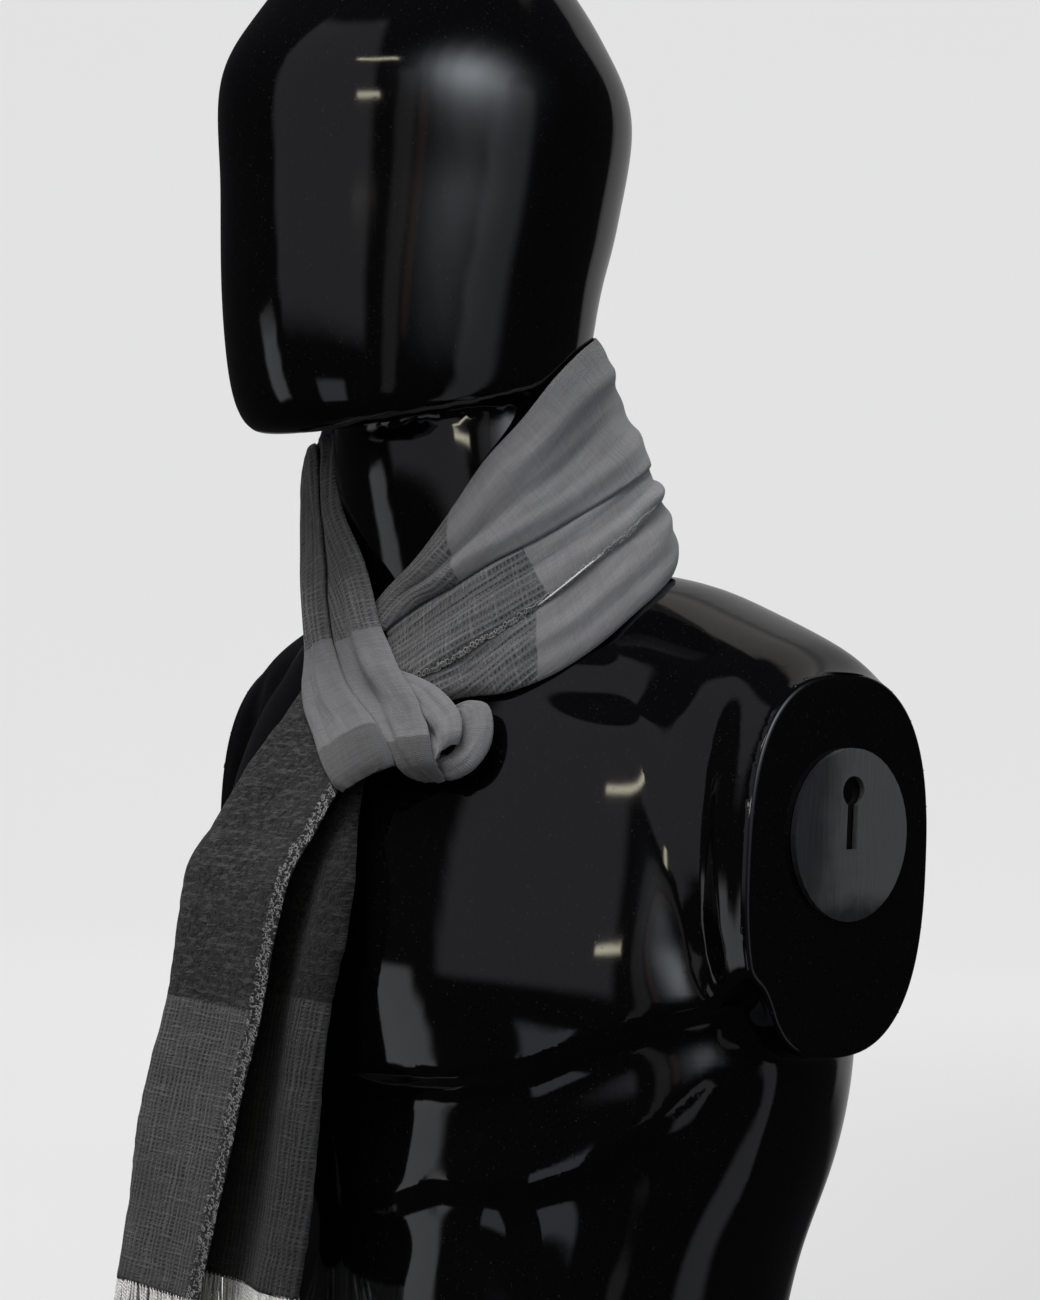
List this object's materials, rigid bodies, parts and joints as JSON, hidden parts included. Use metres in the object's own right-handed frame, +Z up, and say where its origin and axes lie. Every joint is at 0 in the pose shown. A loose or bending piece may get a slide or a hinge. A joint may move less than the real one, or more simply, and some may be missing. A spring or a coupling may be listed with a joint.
{
  "type": "wool scarf on display bust",
  "caption": "Fringed wool scarf folded in half and looped round the neck of a glossy headed display bust with no arms.",
  "frame": {"origin": "on the bust's flat underside, on its centre plane, 97 mm behind the underside's front edge", "axes": "+Z up, -Y the way the bust faces, +X towards the bust's left side, where the knot is"},
  "size_m": [0.3806, 0.294, 0.71],
  "materials": {
    "gloss_black": "black high-gloss lacquer",
    "grey_plate": "plain grey, semi-matt",
    "grey_wool": "thin gauzy wool with a checked, partly open weave",
    "pale_fringe": "loose cream yarn ends"
  },
  "bodies": {
    "root": {"bust": "gloss_black", "arm_plate_left": "grey_plate", "arm_plate_right": "grey_plate", "band_upper": "grey_wool", "band_middle": "grey_wool", "band_lower": "grey_wool", "loop_outer": "grey_wool", "loop_inner": "grey_wool", "loop_turn": "grey_wool", "loop_curl": "grey_wool", "tail_front": "grey_wool", "tail_back": "grey_wool", "fringe_front": "pale_fringe", "fringe_back": "pale_fringe"}
  },
  "joints": []
}
